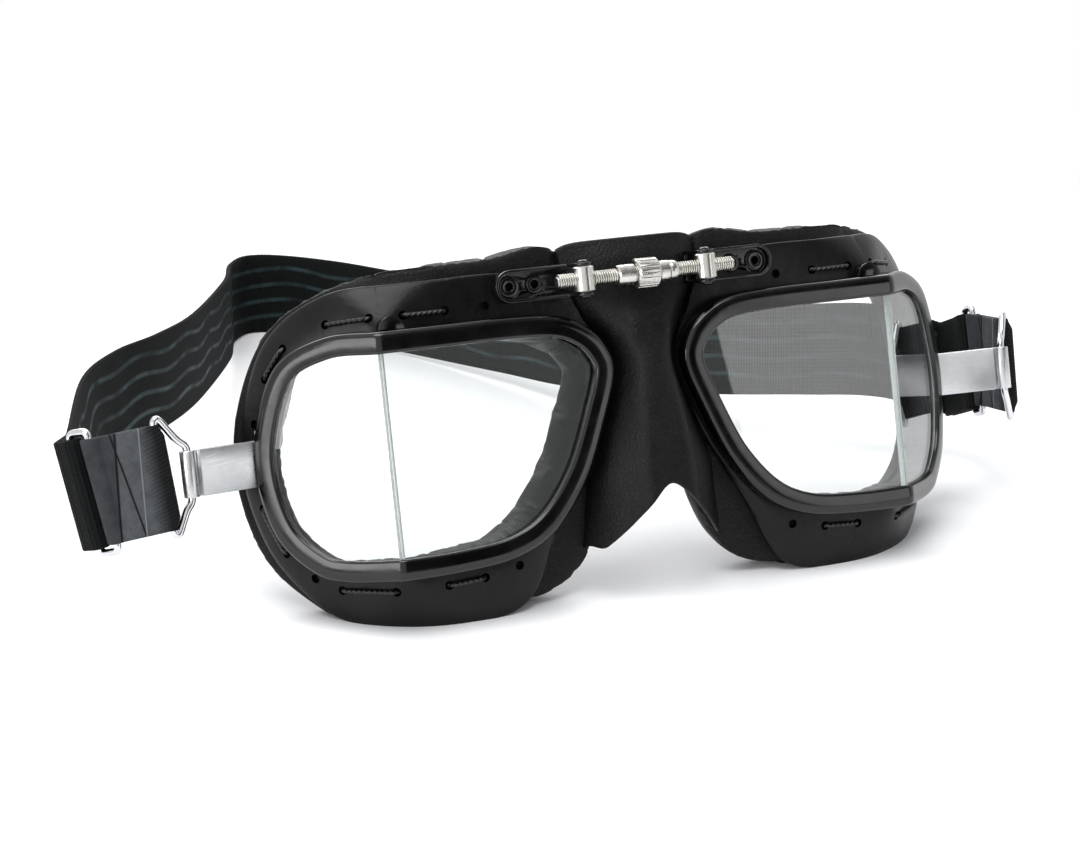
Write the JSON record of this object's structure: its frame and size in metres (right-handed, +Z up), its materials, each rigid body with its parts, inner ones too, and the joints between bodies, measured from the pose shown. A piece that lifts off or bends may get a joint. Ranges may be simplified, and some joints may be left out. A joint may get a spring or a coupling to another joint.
{
  "type": "split-lens racing goggles",
  "caption": "Split-lens racing goggles with laced leather eyecups, a screw bridge adjuster and an elastic head strap on hinged steel links.",
  "frame": {"origin": "on the table surface, in the mirror plane of the eyepieces, under the middle of the frames' front face", "axes": "+Z up from the table; -Y towards the viewer, the way the glasses look; +X to the viewer's right, which is the wearer's left"},
  "size_m": [0.2582, 0.2662, 0.0838],
  "materials": {
    "black_enamel": "gloss",
    "clear_glass": "gloss",
    "black_flange": "satin",
    "black_cord": "matte",
    "black_leather": "satin",
    "bracket_black": "gloss",
    "nickel_plate": "satin",
    "satin_steel": "satin",
    "bright_wire": "polished",
    "grey_suede": "matte",
    "black_elastic": "matte"
  },
  "bodies": {
    "bridge": {"nose_bridge": "black_leather", "elastic_strap": "black_elastic"},
    "adjuster": {"bridge_screw": "nickel_plate", "thumb_wheel": "nickel_plate", "lock_collar": "nickel_plate"},
    "left_nut": {"left_trunnion": "nickel_plate"},
    "left_eyepiece": {"left_lens_frame": "black_enamel", "left_front_glass": "clear_glass", "left_side_glass": "clear_glass", "left_eyecup": "black_flange", "left_vent_hood": "black_enamel", "left_lacing": "black_cord", "left_face_cushion": "black_leather", "left_bracket": "bracket_black", "left_eyelets": "bracket_black"},
    "left_link": {"left_strap_link": "satin_steel"},
    "left_loop": {"left_strap_loop": "bright_wire"},
    "left_tab": {"left_strap_tab": "grey_suede"},
    "left_ring": {"left_slider": "bright_wire"},
    "right_nut": {"right_trunnion": "nickel_plate"},
    "right_eyepiece": {"right_lens_frame": "black_enamel", "right_front_glass": "clear_glass", "right_side_glass": "clear_glass", "right_eyecup": "black_flange", "right_vent_hood": "black_enamel", "right_lacing": "black_cord", "right_face_cushion": "black_leather", "right_bracket": "bracket_black", "right_eyelets": "bracket_black"},
    "right_link": {"right_strap_link": "satin_steel"},
    "right_loop": {"right_strap_loop": "bright_wire"},
    "right_tab": {"right_strap_tab": "grey_suede"},
    "right_ring": {"right_slider": "bright_wire"}
  },
  "joints": [
    {"name": "screw_turn", "type": "hinge", "parent": "bridge", "child": "adjuster", "pos_m": [0, 0.00767, 0.07754], "axis": [1, 0, 0], "range_deg": [-1800.2, 1800.2]},
    {"name": "left_spread", "type": "slide", "parent": "bridge", "child": "left_nut", "axis": [1, 0, 0], "range_m": [-0.003, 0.003], "deforming": ["nose_bridge", "elastic_strap"]},
    {"name": "left_swivel", "type": "hinge", "parent": "left_nut", "child": "left_eyepiece", "pos_m": [-0.0159, 0.00767, 0.07754], "axis": [0, 0.2672, 0.9636], "range_deg": [-6, 6], "deforming": ["nose_bridge", "elastic_strap"]},
    {"name": "left_link_swing", "type": "hinge", "parent": "left_eyepiece", "child": "left_link", "pos_m": [-0.0908, 0.02566, 0.03612], "axis": [0, 0.2672, 0.9636], "range_deg": [-15, 2], "deforming": ["elastic_strap"]},
    {"name": "left_loop_swing", "type": "hinge", "parent": "left_link", "child": "left_loop", "pos_m": [-0.10959, 0.0203, 0.03761], "axis": [0, 0.2672, 0.9636], "range_deg": [-50, 15], "deforming": ["elastic_strap"]},
    {"name": "left_tab_swing", "type": "hinge", "parent": "left_loop", "child": "left_tab", "pos_m": [-0.11593, 0.01944, 0.03785], "axis": [-0.0863, 0.2545, 0.9632], "range_deg": [-45, 15], "deforming": ["elastic_strap"]},
    {"name": "left_ring_swing", "type": "hinge", "parent": "left_tab", "child": "left_ring", "pos_m": [-0.13028, 0.01935, 0.03659], "axis": [-0.1556, 0.2535, 0.9547], "range_deg": [-10, 10], "deforming": ["elastic_strap"]},
    {"name": "right_spread", "type": "slide", "parent": "bridge", "child": "right_nut", "axis": [1, 0, 0], "range_m": [-0.003, 0.003], "deforming": ["nose_bridge", "elastic_strap"]},
    {"name": "right_swivel", "type": "hinge", "parent": "right_nut", "child": "right_eyepiece", "pos_m": [0.0159, 0.00767, 0.07754], "axis": [0, 0.2672, 0.9636], "range_deg": [-6, 6], "deforming": ["nose_bridge", "elastic_strap"]},
    {"name": "right_link_swing", "type": "hinge", "parent": "right_eyepiece", "child": "right_link", "pos_m": [0.0908, 0.02566, 0.03612], "axis": [0, 0.2672, 0.9636], "range_deg": [-2, 15], "deforming": ["elastic_strap"]},
    {"name": "right_loop_swing", "type": "hinge", "parent": "right_link", "child": "right_loop", "pos_m": [0.10959, 0.0203, 0.03761], "axis": [0, 0.2672, 0.9636], "range_deg": [-25, 10], "deforming": ["elastic_strap"]},
    {"name": "right_tab_swing", "type": "hinge", "parent": "right_loop", "child": "right_tab", "pos_m": [0.11404, 0.02473, 0.03638], "axis": [0.0605, 0.3266, 0.9432], "range_deg": [-20, 10], "deforming": ["elastic_strap"]},
    {"name": "right_ring_swing", "type": "hinge", "parent": "right_tab", "child": "right_ring", "pos_m": [0.11417, 0.03919, 0.03412], "axis": [0.0603, 0.3918, 0.9181], "range_deg": [-10, 10], "deforming": ["elastic_strap"]}
  ],
  "couplings": [
    {"joint": "screw_turn", "follows": "right_spread", "rad_per_m": 10472},
    {"joint": "left_spread", "follows": "right_spread", "ratio": -1}
  ]
}
